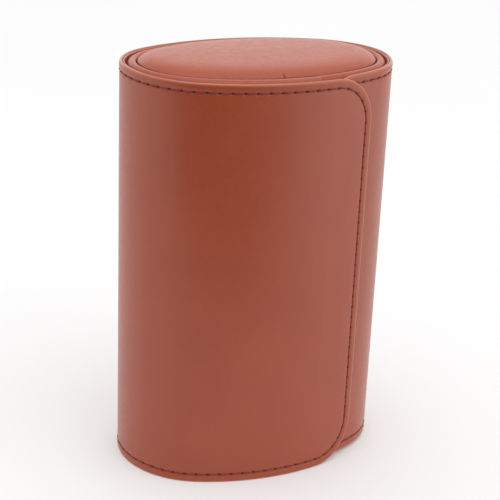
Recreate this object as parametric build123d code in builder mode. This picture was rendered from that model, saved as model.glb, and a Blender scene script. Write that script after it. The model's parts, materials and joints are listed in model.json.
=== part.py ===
"""Closed watch roll case: an oval, leather-wrapped travel roll for three watches.

The case stands on one end. A C-shaped tray of board, lined with suede, has its
mouth towards -Y and holds three padded watch pillows, one above another, between
two dividers. A leather wrap is glued round the back of the tray. Its loose end is
a flap that folds round the left side, covers the mouth and lies over the front
right of the case, where two magnets in the flap meet two steel discs.

Millimetres, +Z up. The origin is on the surface that the case stands on, at the
centre of the oval tray. The flap's hinge line is on the left (-X) side.
"""
import os
from math import acos, atan2, cos, degrees, radians, sin, sqrt

from build123d import *

os.makedirs("parts", exist_ok=True)

# ---- Driving dimensions -----------------------------------------------------
HEIGHT = 165.0           # the wrap, from end to end
HALF_WIDTH = 55.5        # half the oval's long axis, over the wrap
HALF_DEPTH = 36.5        # half its short axis
END_R = 30.5             # radius of the oval's narrow ends

LEATHER = 1.2            # leather of the wrap and the flap
BACKING = 1.1            # backing glued under the fixed wrap
FLAP_LINING = 0.8        # suede lining of the flap
FLAP_GAP = 0.4           # air between the closed flap and the leather under it
TRAY_BOARD = 2.0
TRAY_LINING = 1.0
END_BOARD = 2.0
END_LINING = 0.8
DIVIDER_BOARD = 2.0
DIVIDER_COVER = 1.0

FLAP_EDGE_X = 34.2       # free edge of the closed flap
FLAP_CORNER_R = 19.0
HINGE_GAP = 0.15         # half the clearance at each fold of the flap
UNDER_EDGE_X = 13.2      # front end of the fixed wrap, under the flap
MOUTH_RIGHT_X = 14.0     # right lip of the tray's mouth
MOUTH_LEFT_Y = -12.0     # left lip of the tray's mouth
BINDING = 0.8            # leather strip round the mouth's lips
DIVIDER_FRONT = -24.0    # front edge of the dividers

END_RECESS = 3.0         # end boards lie this far inside the wrap's ends
BEAD_GAP = 0.5           # dark gap between the wrap and the bead of each end
BEAD_WIDTH = 3.7
BEAD_HEIGHT = 3.0
BEAD_EDGE_R = 0.9
BEAD_LIFT = 0.3          # the bottom bead clears the surface by this much
BEAD_CORD = 1.7          # filler inside the bead
MOUTH_BEAD_INSET = 1.2   # the bead is wider across the mouth, where the wrap is absent
MOUTH_BEAD_X = 11.0      # right end of the wider part
SEAM_GAP = 0.2           # between the bead and the domed end panel
PANEL_LEATHER = 1.0
DOME_RISE = 3.0          # top of the padded dome over the wrap's end
DOME_EDGE_R = 4.0
BASE_EDGE_R = 1.0        # edge of the flat bottom panel
FOAM_EDGE_SHARE = 0.6    # the foam's edge radius over the panel's

PILLOW_X, PILLOW_Y = -16.0, 1.0
PILLOW_WIDTH, PILLOW_DEPTH, PILLOW_HEIGHT = 54.0, 46.0, 44.0
PILLOW_CORNER_R = 18.0
PILLOW_EDGE_R = 4.0
PILLOW_COVER = 1.2

MAGNET_R = 5.0
MAGNET_THICK = 1.0
KEEPER_THICK = 0.8
CLOSURE_X = 24.0
CLOSURE_HEIGHTS = (41.0, 124.0)

THREAD_R = 0.35
STITCH_LENGTH = 3.4
STITCH_PITCH = 4.7
STITCH_INSET = 3.5
STITCH_SINK = 0.15

BIG = 200.0              # longer than anything in the case
TRIM = 1.0               # degrees of the flap's front cut off with its round corners

# ---- Derived geometry -------------------------------------------------------
# The oval is four tangent arcs: two of END_R at (+-END_X, 0) and two of FACE_R at
# (0, -+FACE_Y), so that every layer is the same oval with each radius reduced.
END_X = HALF_WIDTH - END_R
FACE_R = (END_X**2 + HALF_DEPTH**2 - END_R**2) / (2 * (HALF_DEPTH - END_R))
FACE_Y = FACE_R - HALF_DEPTH
ARC_CHANGE = degrees(atan2(FACE_Y, END_X))

WRAP = LEATHER + BACKING
TRAY_OUT = WRAP
TRAY_IN = TRAY_OUT + TRAY_BOARD
SLOT_WALL = TRAY_IN + TRAY_LINING
TRAY_BOTTOM = END_RECESS + END_BOARD
TRAY_TOP = HEIGHT - TRAY_BOTTOM

# The closed flap: its front arc shares the front face's centre, and its left arc
# is tangent to that arc and to the side of the case at (-HALF_WIDTH, 0).
FLAP = LEATHER + FLAP_LINING
FLAP_R = FACE_R + FLAP_GAP + FLAP
FLAP_SIDE_R = (FLAP_R**2 - HALF_WIDTH**2 - FACE_Y**2) / (2 * (FLAP_R - HALF_WIDTH))
FLAP_SIDE_X = FLAP_SIDE_R - HALF_WIDTH
CURL_ANGLE = 180 + degrees(atan2(FACE_Y, -FLAP_SIDE_X))
CURL_X = FLAP_R * cos(radians(CURL_ANGLE))
CURL_Y = FACE_Y + FLAP_R * sin(radians(CURL_ANGLE))

BEAD_OUT = WRAP + BEAD_GAP
BEAD_IN = BEAD_OUT + BEAD_WIDTH
PANEL_OUT = BEAD_IN + SEAM_GAP
PANEL_IN = PANEL_OUT + PANEL_LEATHER

DIVIDER = DIVIDER_BOARD + 2 * DIVIDER_COVER
SLOT_BOTTOM = TRAY_BOTTOM + END_LINING
SLOT_TOP = TRAY_TOP - END_LINING
SLOT_HEIGHT = (SLOT_TOP - SLOT_BOTTOM - 2 * DIVIDER) / 3
SLOT_STEP = SLOT_HEIGHT + DIVIDER


# ---- Section outlines -------------------------------------------------------
def oval(inset):
    """The body's oval section, `inset` inside its outer surface."""
    end_r = END_R - inset
    face_r = FACE_R - inset
    with BuildSketch() as section:
        with BuildLine():
            CenterArc((END_X, 0), end_r, -ARC_CHANGE, 2 * ARC_CHANGE)
            CenterArc((0, -FACE_Y), face_r, ARC_CHANGE, 180 - 2 * ARC_CHANGE)
            CenterArc((-END_X, 0), end_r, 180 - ARC_CHANGE, 2 * ARC_CHANGE)
            CenterArc((0, FACE_Y), face_r, 180 + ARC_CHANGE, 180 - 2 * ARC_CHANGE)
        make_face()
    return section.sketch


def cut_corner(right, front):
    """Takes away everything left of x = right and in front of y = front."""
    with Locations((right, front)):
        Rectangle(BIG, BIG, align=(Align.MAX, Align.MAX), mode=Mode.SUBTRACT)


def wall(inset, thickness, bottom, top, lip=None):
    """A wall that follows the oval; lip = (x, y) opens it at the front left."""
    with BuildPart() as piece:
        with BuildSketch(Plane.XY.offset(bottom)):
            add(oval(inset))
            add(oval(inset + thickness), mode=Mode.SUBTRACT)
            if lip:
                cut_corner(*lip)
        extrude(amount=top - bottom)
    return piece.part


def plate(inset, bottom, top):
    """A flat piece that fills the oval."""
    with BuildPart() as piece:
        with BuildSketch(Plane.XY.offset(bottom)):
            add(oval(inset))
        extrude(amount=top - bottom)
    return piece.part


def bent_strip(centre, radius, thickness, start, end):
    """A curved strip, HEIGHT tall, between two angles about a centre."""
    inner = radius - thickness
    with BuildPart() as piece:
        with BuildSketch():
            with BuildLine():
                outside = CenterArc(centre, radius, start, end - start)
                inside = CenterArc(centre, inner, start, end - start)
                Line(outside @ 0, inside @ 0)
                Line(outside @ 1, inside @ 1)
            make_face()
        extrude(amount=HEIGHT)
    return piece.part


def save(part, name):
    """Labels one piece and writes it to its own file."""
    part.label = name
    export_step(part, f"parts/{name}.step")


# ---- Thread -----------------------------------------------------------------
def arc_rows(arcs, heights):
    """Stitch planes along horizontal rows; each arc is (centre, radius, from, to)."""
    planes = []
    for (centre_x, centre_y), radius, start, end in arcs:
        count = round(abs(radians(end - start)) * radius / STITCH_PITCH)
        for index in range(count):
            angle = radians(start + (index + 0.5) * (end - start) / count)
            sunk = radius - STITCH_SINK
            place = (centre_x + sunk * cos(angle), centre_y + sunk * sin(angle))
            for height in heights:
                planes.append(
                    Plane(origin=(*place, height), z_dir=(-sin(angle), cos(angle), 0))
                )
    return planes


def thread(planes):
    """One short length of thread on each plane."""
    with BuildPart() as piece:
        with Locations(*planes):
            Cylinder(THREAD_R, STITCH_LENGTH)
    return piece.part


ROW_HEIGHTS = (STITCH_INSET, HEIGHT - STITCH_INSET)

# ---- Closure: magnets in the flap, steel discs under the fixed leather --------
CLOSURE_TURN = degrees(acos(CLOSURE_X / FLAP_R))
CLOSURE_OUT = (cos(radians(CLOSURE_TURN)), -sin(radians(CLOSURE_TURN)), 0)


def closure_discs(surface_r, depth, radius, thickness):
    """Two discs that lie in the front, `depth` under the surface of surface_r."""
    reach = surface_r - depth
    planes = [
        Plane(
            origin=(CLOSURE_OUT[0] * reach, FACE_Y + CLOSURE_OUT[1] * reach, height),
            z_dir=CLOSURE_OUT,
        )
        for height in CLOSURE_HEIGHTS
    ]
    with BuildPart() as piece:
        with Locations(*planes):
            Cylinder(radius, thickness, align=(Align.CENTER, Align.CENTER, Align.MAX))
    return piece.part


magnets = closure_discs(FLAP_R, LEATHER - MAGNET_THICK / 2, MAGNET_R, MAGNET_THICK)
save(magnets, "flap_magnets")
keepers = closure_discs(FACE_R, LEATHER - KEEPER_THICK / 2, MAGNET_R, KEEPER_THICK)
save(keepers, "keeper_discs")

# ---- Fixed wrap ---------------------------------------------------------------
WRAP_LIP = (UNDER_EDGE_X, HINGE_GAP)
with BuildPart() as wrap_leather:
    add(wall(0, LEATHER, 0, HEIGHT, WRAP_LIP))
    add(keepers, mode=Mode.SUBTRACT)
save(wrap_leather.part, "wrap_leather")

with BuildPart() as wrap_backing:
    add(wall(LEATHER, BACKING, 0, HEIGHT, WRAP_LIP))
    add(keepers, mode=Mode.SUBTRACT)
save(wrap_backing.part, "wrap_backing")

UNDER_ANGLE = degrees(acos((UNDER_EDGE_X + STITCH_INSET) / FACE_R))
wrap_arcs = [
    ((-END_X, 0), END_R, 180, 180 - ARC_CHANGE),
    ((0, -FACE_Y), FACE_R, 180 - ARC_CHANGE, ARC_CHANGE),
    ((END_X, 0), END_R, ARC_CHANGE, -ARC_CHANGE),
    ((0, FACE_Y), FACE_R, -ARC_CHANGE, -UNDER_ANGLE),
]
save(thread(arc_rows(wrap_arcs, ROW_HEIGHTS)), "wrap_stitches")

# ---- Tray, its lining and the leather round its mouth -------------------------
TRAY_LIP = (MOUTH_RIGHT_X, MOUTH_LEFT_Y)
save(wall(TRAY_OUT, TRAY_BOARD, TRAY_BOTTOM, TRAY_TOP, TRAY_LIP), "tray_shell")
save(wall(TRAY_IN, TRAY_LINING, TRAY_BOTTOM, TRAY_TOP, TRAY_LIP), "tray_lining")

with BuildPart() as mouth_binding:
    add(wall(TRAY_OUT, SLOT_WALL - TRAY_OUT, TRAY_BOTTOM, TRAY_TOP,
             (MOUTH_RIGHT_X - BINDING, MOUTH_LEFT_Y - BINDING)))
    add(wall(TRAY_OUT, SLOT_WALL - TRAY_OUT, TRAY_BOTTOM, TRAY_TOP, TRAY_LIP),
        mode=Mode.SUBTRACT)
save(mouth_binding.part, "mouth_binding")

# ---- Dividers between the slots -----------------------------------------------
def divider_slab(inset, bottom, thickness):
    """A plate across the tray, cut back at the front to clear the flap."""
    with BuildPart() as piece:
        with BuildSketch(Plane.XY.offset(bottom)):
            add(oval(inset))
            cut_corner(BIG / 2, DIVIDER_FRONT + inset - SLOT_WALL)
        extrude(amount=thickness)
    return piece.part


for number in (1, 2):
    underside = SLOT_BOTTOM + number * SLOT_HEIGHT + (number - 1) * DIVIDER
    board = divider_slab(
        SLOT_WALL + DIVIDER_COVER, underside + DIVIDER_COVER, DIVIDER_BOARD
    )
    with BuildPart() as cover:
        add(divider_slab(SLOT_WALL, underside, DIVIDER))
        add(board, mode=Mode.SUBTRACT)
    save(cover.part, f"divider_{number}_cover")
    save(board, f"divider_{number}_board")

# ---- Ends: board, lining, foam, leather panel and bead -------------------------
BOARD_TOP = HEIGHT - END_RECESS
DOME_TOP = HEIGHT + DOME_RISE


def mouth_oval():
    """The bead's outline with a fuller front arc, tangent to the same end arcs."""
    end_r = END_R - BEAD_OUT
    depth = HALF_DEPTH - MOUTH_BEAD_INSET
    front_r = (END_X**2 + depth**2 - end_r**2) / (2 * (depth - end_r))
    front_y = front_r - depth
    change = degrees(atan2(front_y, END_X))
    back_r = FACE_R - BEAD_OUT
    with BuildSketch() as section:
        with BuildLine():
            CenterArc((END_X, 0), end_r, -change, change + ARC_CHANGE)
            CenterArc((0, -FACE_Y), back_r, ARC_CHANGE, 180 - 2 * ARC_CHANGE)
            CenterArc((-END_X, 0), end_r, 180 - ARC_CHANGE, ARC_CHANGE + change)
            CenterArc((0, front_y), front_r, 180 + change, 180 - 2 * change)
        make_face()
    return section.sketch


def bead(bottom, top, outer_edges):
    """Leather bead round an end, hollow for its cord, and the cord."""
    middle = (bottom + top) / 2
    margin = (BEAD_WIDTH - BEAD_CORD) / 2
    half_cord = min(BEAD_CORD, top - bottom - 2 * margin) / 2
    cord = wall(BEAD_OUT + margin, BEAD_CORD, middle - half_cord, middle + half_cord)
    with BuildPart() as cover:
        with BuildSketch(Plane.XY.offset(bottom)):
            add(mouth_oval())
            with Locations((MOUTH_BEAD_X, 0)):
                Rectangle(BIG, BIG, align=(Align.MIN, Align.MAX), mode=Mode.SUBTRACT)
            add(oval(BEAD_OUT))
            add(oval(BEAD_IN), mode=Mode.SUBTRACT)
        extrude(amount=top - bottom)
        fillet(cover.edges().group_by(Axis.Z)[outer_edges], BEAD_EDGE_R)
        add(cord, mode=Mode.SUBTRACT)
    return cover.part, cord


def end_pad(bottom, top, foam_bottom, foam_top, outer_edges, edge_r):
    """Leather end panel with its foam inside."""
    with BuildPart() as foam:
        add(plate(PANEL_IN, foam_bottom, foam_top))
        fillet(foam.edges().group_by(Axis.Z)[outer_edges], edge_r * FOAM_EDGE_SHARE)
    with BuildPart() as panel:
        add(plate(PANEL_OUT, bottom, top))
        fillet(panel.edges().group_by(Axis.Z)[outer_edges], edge_r)
        add(foam.part, mode=Mode.SUBTRACT)
    return panel.part, foam.part


save(plate(TRAY_OUT, BOARD_TOP - END_BOARD, BOARD_TOP), "end_board_top")
save(plate(TRAY_OUT, END_RECESS, TRAY_BOTTOM), "end_board_bottom")
save(plate(SLOT_WALL, TRAY_TOP - END_LINING, TRAY_TOP), "end_lining_top")
save(plate(SLOT_WALL, TRAY_BOTTOM, SLOT_BOTTOM), "end_lining_bottom")

bead_top, cord_top = bead(BOARD_TOP, BOARD_TOP + BEAD_HEIGHT, -1)
save(bead_top, "end_bead_top")
save(cord_top, "end_bead_cord_top")
bead_bottom, cord_bottom = bead(BEAD_LIFT, END_RECESS, 0)
save(bead_bottom, "end_bead_bottom")
save(cord_bottom, "end_bead_cord_bottom")

panel_top, foam_top = end_pad(
    BOARD_TOP, DOME_TOP, BOARD_TOP, DOME_TOP - PANEL_LEATHER, -1, DOME_EDGE_R
)
save(panel_top, "end_panel_top")
save(foam_top, "end_foam_top")
panel_bottom, foam_bottom = end_pad(
    0, END_RECESS, PANEL_LEATHER, END_RECESS, 0, BASE_EDGE_R
)
save(panel_bottom, "end_panel_bottom")
save(foam_bottom, "end_foam_bottom")

# ---- Flap, side panel: from the hinge line to the curl line ---------------------
SIDE_CENTRE = (FLAP_SIDE_X, 0)
SIDE_START = 180 + degrees(HINGE_GAP / FLAP_SIDE_R)
SIDE_END = CURL_ANGLE - degrees(HINGE_GAP / FLAP_SIDE_R)
save(bent_strip(SIDE_CENTRE, FLAP_SIDE_R, LEATHER, SIDE_START, SIDE_END),
     "flap_side_leather")
save(bent_strip(SIDE_CENTRE, FLAP_SIDE_R - LEATHER, FLAP_LINING, SIDE_START, SIDE_END),
     "flap_side_lining")
side_arcs = [(SIDE_CENTRE, FLAP_SIDE_R, SIDE_START, SIDE_END)]
save(thread(arc_rows(side_arcs, ROW_HEIGHTS)), "flap_side_stitches")

# ---- Flap, front panel: from the curl line to the free edge ----------------------
FRONT_CENTRE = (0, FACE_Y)
FRONT_START = CURL_ANGLE + degrees(HINGE_GAP / FLAP_R)
FRONT_END = 360 - degrees(acos(FLAP_EDGE_X / FLAP_R)) + TRIM


def front_sheet(depth, thickness):
    """A layer of the front panel, with the free edge's two corners rounded."""
    with BuildPart() as piece:
        add(bent_strip(FRONT_CENTRE, FLAP_R - depth, thickness, FRONT_START, FRONT_END))
        with BuildSketch(Plane.XZ) as outline:
            with Locations((FLAP_EDGE_X - BIG / 2, HEIGHT / 2)):
                RectangleRounded(BIG, HEIGHT, FLAP_CORNER_R)
        extrude(amount=BIG, mode=Mode.INTERSECT)
        add(magnets, mode=Mode.SUBTRACT)
    return piece.part


def front_y(x):
    """Y of the closed flap's front, just under its surface."""
    return FACE_Y - sqrt((FLAP_R - STITCH_SINK) ** 2 - x**2)


def front_planes():
    """Stitch planes along the top, the free edge and the bottom of the flap."""
    start_x = CURL_X + STITCH_PITCH / 2
    edge_x = FLAP_EDGE_X - STITCH_INSET
    with BuildLine(Plane.XZ) as seam:
        FilletPolyline(
            (start_x, ROW_HEIGHTS[0]),
            (edge_x, ROW_HEIGHTS[0]),
            (edge_x, ROW_HEIGHTS[1]),
            (start_x, ROW_HEIGHTS[1]),
            radius=FLAP_CORNER_R - STITCH_INSET,
        )
    path = seam.wire()
    count = round(path.length / STITCH_PITCH)
    planes = []
    for index in range(count):
        share = (index + 0.5) / count
        point = path @ share
        along = path % share
        slope = point.X / (FACE_Y - front_y(point.X))
        planes.append(
            Plane(
                origin=(point.X, front_y(point.X), point.Z),
                z_dir=(along.X, slope * along.X, along.Z),
            )
        )
    return planes


save(front_sheet(0, LEATHER), "flap_front_leather")
save(front_sheet(LEATHER, FLAP_LINING), "flap_front_lining")
save(thread(front_planes()), "flap_front_stitches")


# ---- Watch pillows ----------------------------------------------------------------
def pillow_block(bottom, shrink, edge_r):
    """A rounded block, `shrink` smaller all round than the covered pillow."""
    with BuildPart() as piece:
        with BuildSketch(Plane.XY.offset(bottom + shrink)):
            with Locations((PILLOW_X, PILLOW_Y)):
                RectangleRounded(
                    PILLOW_WIDTH - 2 * shrink,
                    PILLOW_DEPTH - 2 * shrink,
                    PILLOW_CORNER_R - shrink,
                )
        extrude(amount=PILLOW_HEIGHT - 2 * shrink)
        fillet(piece.faces().filter_by(Axis.Z).edges(), edge_r)
    return piece.part


for number in (1, 2, 3):
    slot_floor = SLOT_BOTTOM + (number - 1) * SLOT_STEP
    pillow_bottom = slot_floor + (SLOT_HEIGHT - PILLOW_HEIGHT) / 2
    core = pillow_block(pillow_bottom, PILLOW_COVER, PILLOW_EDGE_R - PILLOW_COVER)
    with BuildPart() as cover:
        add(pillow_block(pillow_bottom, 0, PILLOW_EDGE_R))
        add(core, mode=Mode.SUBTRACT)
    save(core, f"pillow_{number}_core")
    save(cover.part, f"pillow_{number}_cover")

print("curl line", round(CURL_X, 3), round(CURL_Y, 3), "flap side radius", FLAP_SIDE_R)
print("slot", round(SLOT_BOTTOM, 3), round(SLOT_HEIGHT, 3), round(SLOT_STEP, 3))
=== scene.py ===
"""Looks of the watch roll case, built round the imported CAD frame.

Lengths are in metres, and MM is one millimetre. The wrap is laid out flat in (s, z): s runs along its
section from the flap's free edge, over the front, round the left side and the back to the end under
the flap, and z is the height."""
import json
import math

import bpy
import bmesh
import numpy as np
from mathutils import Matrix, Vector


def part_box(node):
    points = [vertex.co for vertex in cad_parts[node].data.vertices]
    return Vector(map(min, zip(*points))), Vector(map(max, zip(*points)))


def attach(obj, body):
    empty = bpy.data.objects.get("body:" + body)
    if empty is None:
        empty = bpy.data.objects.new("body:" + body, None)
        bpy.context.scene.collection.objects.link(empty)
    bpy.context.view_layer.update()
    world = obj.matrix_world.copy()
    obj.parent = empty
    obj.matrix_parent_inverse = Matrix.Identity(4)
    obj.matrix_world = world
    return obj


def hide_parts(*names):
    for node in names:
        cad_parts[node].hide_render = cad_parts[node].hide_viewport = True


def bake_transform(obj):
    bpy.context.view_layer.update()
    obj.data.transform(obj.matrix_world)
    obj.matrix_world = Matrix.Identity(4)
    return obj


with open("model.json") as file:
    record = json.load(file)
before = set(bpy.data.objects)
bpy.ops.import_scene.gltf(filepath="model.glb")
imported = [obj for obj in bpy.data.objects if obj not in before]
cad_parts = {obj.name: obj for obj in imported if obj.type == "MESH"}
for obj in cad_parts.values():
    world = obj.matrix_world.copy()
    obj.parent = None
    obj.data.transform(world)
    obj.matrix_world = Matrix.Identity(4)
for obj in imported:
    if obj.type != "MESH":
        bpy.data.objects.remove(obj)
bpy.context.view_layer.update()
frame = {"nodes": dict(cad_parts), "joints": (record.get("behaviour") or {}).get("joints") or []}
MM = 0.001

# ---- Sizes ---------------------------------------------------------------------
WRAP_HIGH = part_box("wrap_leather")[1]
HEIGHT = WRAP_HIGH.z
HALF_WIDTH = WRAP_HIGH.x
HALF_DEPTH = WRAP_HIGH.y
UNDER_EDGE_X = 13.2 * MM    # the fixed leather's end under the flap
FLAP_FRONT = -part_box("flap_front_leather")[0].y
FLAP_EDGE_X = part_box("flap_front_leather")[1].x
JOINTS = {joint["name"]: joint for joint in frame["joints"]}
HINGE = Vector(JOINTS["flap_open"]["pos_m"])
CURL = Vector(JOINTS["flap_curl"]["pos_m"])

END_R = 30.5 * MM
END_X = HALF_WIDTH - END_R
FACE_R = (END_X**2 + HALF_DEPTH**2 - END_R**2) / (2 * (HALF_DEPTH - END_R))
FACE_Y = FACE_R - HALF_DEPTH
ARC_CHANGE = math.atan2(FACE_Y, END_X)
FLAP_R = FACE_Y + FLAP_FRONT
SIDE_R = (FLAP_R**2 - HALF_WIDTH**2 - FACE_Y**2) / (2 * (FLAP_R - HALF_WIDTH))
SIDE_X = SIDE_R - HALF_WIDTH
CURL_ANGLE = math.atan2(CURL.y - FACE_Y, CURL.x)

# ---- Sizes of the leatherwork --------------------------------------------------
FREE_CORNER_R = 19 * MM
UNDER_CORNER_R = 12.5 * MM
OUTER_THICK = 1.35 * MM
LINING_THICK = 0.65 * MM
LINING_INSET = 0.35 * MM
CREVICE = 0.05 * MM
STITCH_PITCH = 4.7 * MM
STITCH_INSET = 3.5 * MM
FINE_PER_STITCH = 12
FINE_PER_COARSE = 4
COARSE_PER_STITCH = FINE_PER_STITCH // FINE_PER_COARSE
FREE_CORNER_STITCHES = 5
UNDER_CORNER_STITCHES = 3
BEND_SMOOTHING = 12 * MM
SKEW = 1.4 * MM          # how far the bottom edge has risen at the end under the flap
LEAN_FRONT = 0.030       # fall of the top towards the front, per length
LEAN_BACK = 0.008
NOSE_SHARE = 0.7         # length of an edge's rounded nose, over the sheet's thickness
FAR_INSET = 1.0          # an inset past any rounding
EDGE_FADE = 0.9 * MM     # width of the lighter folded edge, whose paler tone is partly a painted highlight
BODY_CUT = 6 * MM        # the body's zone starts this far behind the flap's hinge


# ---- Curved section paths -------------------------------------------------------
class Path:
    """A section line made of arcs, its bends eased, sampled by arc length."""

    STEP = 0.1 * MM

    def __init__(self, arcs, closed=False):
        bends, turned = [], []
        for centre, radius, start, end in arcs:
            count = max(2, round(abs(end - start) * radius / self.STEP))
            step = (end - start) / count
            angles = start + (np.arange(count) + 0.5) * step
            bends.append(angles)
            turned.append(np.full(count, abs(step) * radius))
        angles = np.concatenate(bends)
        lengths = np.concatenate(turned)
        window = round(BEND_SMOOTHING / self.STEP)
        kernel = np.hanning(window + 2)[1:-1]
        kernel /= kernel.sum()
        sign = 1 if arcs[0][3] > arcs[0][2] else -1
        if closed:
            whole = sign * 2 * math.pi
            padded = np.concatenate([angles[-window:] - whole, angles, angles[:window] + whole])
        else:
            before = angles[0] - (angles[1] - angles[0]) * np.arange(window, 0, -1)
            after = angles[-1] + (angles[-1] - angles[-2]) * np.arange(1, window + 1)
            padded = np.concatenate([before, angles, after])
        eased = np.convolve(padded, kernel, mode="same")[window:-window]
        along = sign * np.stack([-np.sin(eased), np.cos(eased)], 1)
        points = np.concatenate([[[0, 0]], np.cumsum(along * lengths[:, None], 0)])
        centre, radius, start, _ = arcs[0]
        first = np.array(centre) + radius * np.array([math.cos(start), math.sin(start)])
        centre, radius, _, end = arcs[-1]
        last = np.array(centre) + radius * np.array([math.cos(end), math.sin(end)])
        self.s = np.concatenate([[0], np.cumsum(lengths)])
        drift = (last - first) - points[-1]
        self.points = first + points + drift * (self.s / self.s[-1])[:, None]
        ends = np.concatenate([[eased[0]], (eased[1:] + eased[:-1]) / 2, [eased[-1]]])
        self.angle = ends
        self.length = self.s[-1]

    def at(self, s):
        """Points and outward normals at arc lengths s."""
        s = np.asarray(s, float)
        x = np.interp(s, self.s, self.points[:, 0])
        y = np.interp(s, self.s, self.points[:, 1])
        angle = np.interp(s, self.s, self.angle)
        return np.stack([x, y], -1), np.stack([np.cos(angle), np.sin(angle)], -1)

    def nearest(self, x, y):
        """Arc length of the point of the path nearest to (x, y)."""
        return self.s[np.argmin(((self.points - (x, y)) ** 2).sum(1))]


def half_turn(angle):
    return angle - 2 * math.pi


EDGE_ANGLE = -math.acos(FLAP_EDGE_X / FLAP_R)
UNDER_ANGLE = -math.acos(UNDER_EDGE_X / FACE_R)
WRAP_PATH = Path([
    ((0, FACE_Y), FLAP_R, EDGE_ANGLE, CURL_ANGLE),
    ((SIDE_X, 0), SIDE_R, CURL_ANGLE, -math.pi),
    ((-END_X, 0), END_R, -math.pi, -math.pi - ARC_CHANGE),
    ((0, -FACE_Y), FACE_R, -math.pi - ARC_CHANGE, half_turn(ARC_CHANGE)),
    ((END_X, 0), END_R, half_turn(ARC_CHANGE), half_turn(-ARC_CHANGE)),
    ((0, FACE_Y), FACE_R, half_turn(-ARC_CHANGE), half_turn(UNDER_ANGLE)),
])
OVAL_PATH = Path([
    ((END_X, 0), END_R, -ARC_CHANGE, ARC_CHANGE),
    ((0, -FACE_Y), FACE_R, ARC_CHANGE, math.pi - ARC_CHANGE),
    ((-END_X, 0), END_R, math.pi - ARC_CHANGE, math.pi + ARC_CHANGE),
    ((0, FACE_Y), FACE_R, math.pi + ARC_CHANGE, 2 * math.pi - ARC_CHANGE),
], closed=True)


# ---- Mesh helpers ----------------------------------------------------------------
def make_object(name, verts, faces, normals=None, layers=None):
    """A mesh object from arrays, smooth, with optional vertex normals and float layers."""
    mesh = bpy.data.meshes.new(name)
    mesh.from_pydata([tuple(v) for v in verts], [], faces)
    mesh.update()
    for key, values in (layers or {}).items():
        layer = mesh.attributes.new(key, "FLOAT", "POINT")
        layer.data.foreach_set("value", np.asarray(values, np.float32))
    mesh.polygons.foreach_set("use_smooth", [True] * len(mesh.polygons))
    if normals is not None:
        mesh.normals_split_custom_set_from_vertices([tuple(n) for n in normals])
    piece = bpy.data.objects.new(name, mesh)
    bpy.context.scene.collection.objects.link(piece)
    return piece


def vertex_normals(verts, faces):
    """Area-weighted vertex normals of a polygon mesh."""
    normals = np.zeros_like(verts)
    for face in faces:
        ring = verts[list(face)]
        cross = np.cross(ring - ring[0], np.roll(ring, -1, 0) - ring[0]).sum(0)
        normals[list(face)] += cross
    length = np.linalg.norm(normals, axis=1, keepdims=True)
    return normals / np.where(length > 0, length, 1)


def gauss(x, width):
    return np.exp(-((x / width) ** 2))


# ---- The wrap's flat layout -------------------------------------------------------
class Layout:
    """Spokes and loops of a rounded rectangle, (s, z) from (0, 0) to (length, height).

    The corners at s = 0 have radius `free`, those at s = length have radius `under`.
    A spoke runs inward from one place on the edge; `fine` of them go round it."""

    def __init__(self, length, height, free, under):
        self.length, self.free, self.under = length, free, under
        self.wide = round((length - free - under) / STITCH_PITCH)
        self.tall = round((height - free - under) / STITCH_PITCH)
        far = length - under
        corners = [(free, free), (far, under), (far, height - under), (free, height - free)]
        self.corners = [np.array(corner) for corner in corners]
        radii = [free, under, under, free]
        self.turns = [UNDER_CORNER_STITCHES] * 2 + [FREE_CORNER_STITCHES] * 2
        counts = [self.wide, self.tall, self.wide, self.tall]
        anchors, outs, reach = [], [], []
        for side in range(4):
            start, end = self.corners[side], self.corners[(side + 1) % 4]
            angle = -math.pi / 2 + side * math.pi / 2
            steps = counts[side] * FINE_PER_STITCH
            first, last = radii[side], radii[(side + 1) % 4]
            for share in np.arange(steps) / steps:
                anchors.append(start + (end - start) * share)
                outs.append((math.cos(angle), math.sin(angle)))
                reach.append(first + (last - first) * share)
            turn = self.turns[side] * FINE_PER_STITCH
            for share in np.arange(turn) / turn:
                bent = angle + share * math.pi / 2
                anchors.append(end)
                outs.append((math.cos(bent), math.sin(bent)))
                reach.append(last)
        self.anchors, self.outs, self.reach = np.array(anchors), np.array(outs), np.array(reach)
        self.fine = len(anchors)
        self.stitches = self.fine // FINE_PER_STITCH

    def spoke(self, index, inset):
        """Flat (s, z) at a place along the edge (in fine steps) and an inset."""
        low = int(math.floor(index)) % self.fine
        high = (low + 1) % self.fine
        share = index - math.floor(index)
        anchor = self.anchors[low] * (1 - share) + self.anchors[high] * share
        out = self.outs[low] * (1 - share) + self.outs[high] * share
        out = out / np.linalg.norm(out)
        reach = self.reach[low] * (1 - share) + self.reach[high] * share
        return anchor + out * (reach - inset)

    def inner(self, across, up):
        """A place inside the four corner centres, by shares of the way across and up."""
        low = self.corners[0] * (1 - across) + self.corners[1] * across
        high = self.corners[3] * (1 - across) + self.corners[2] * across
        return low * (1 - up) + high * up


WRAP = Layout(WRAP_PATH.length, HEIGHT, FREE_CORNER_R, UNDER_CORNER_R)
HINGE_S = WRAP_PATH.nearest(HINGE.x, HINGE.y)
CURL_S = WRAP_PATH.nearest(CURL.x, CURL.y)


def lean(y, z):
    """Rise of the top at y, lower at the front, that fades out towards the bottom."""
    return (LEAN_FRONT * np.minimum(y, 0) + LEAN_BACK * np.maximum(y, 0)) * np.clip(z / HEIGHT, 0, 1)


def place(flat, depth):
    """Points in space for flat (s, z) places, `depth` out from the wrap's surface."""
    flat = np.asarray(flat, float)
    points, normals = WRAP_PATH.at(flat[..., 0])
    share = np.clip((flat[..., 0] - HINGE_S) / (WRAP.length - HINGE_S), 0, 1)
    lift = SKEW * share**2 * (3 - 2 * share)
    z = flat[..., 1] + lift * (1 - flat[..., 1] / HEIGHT)
    z = z + lean(points[..., 1], flat[..., 1])
    out = points + normals * np.asarray(depth)[..., None]
    return np.concatenate([out, z[..., None]], -1)


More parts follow.
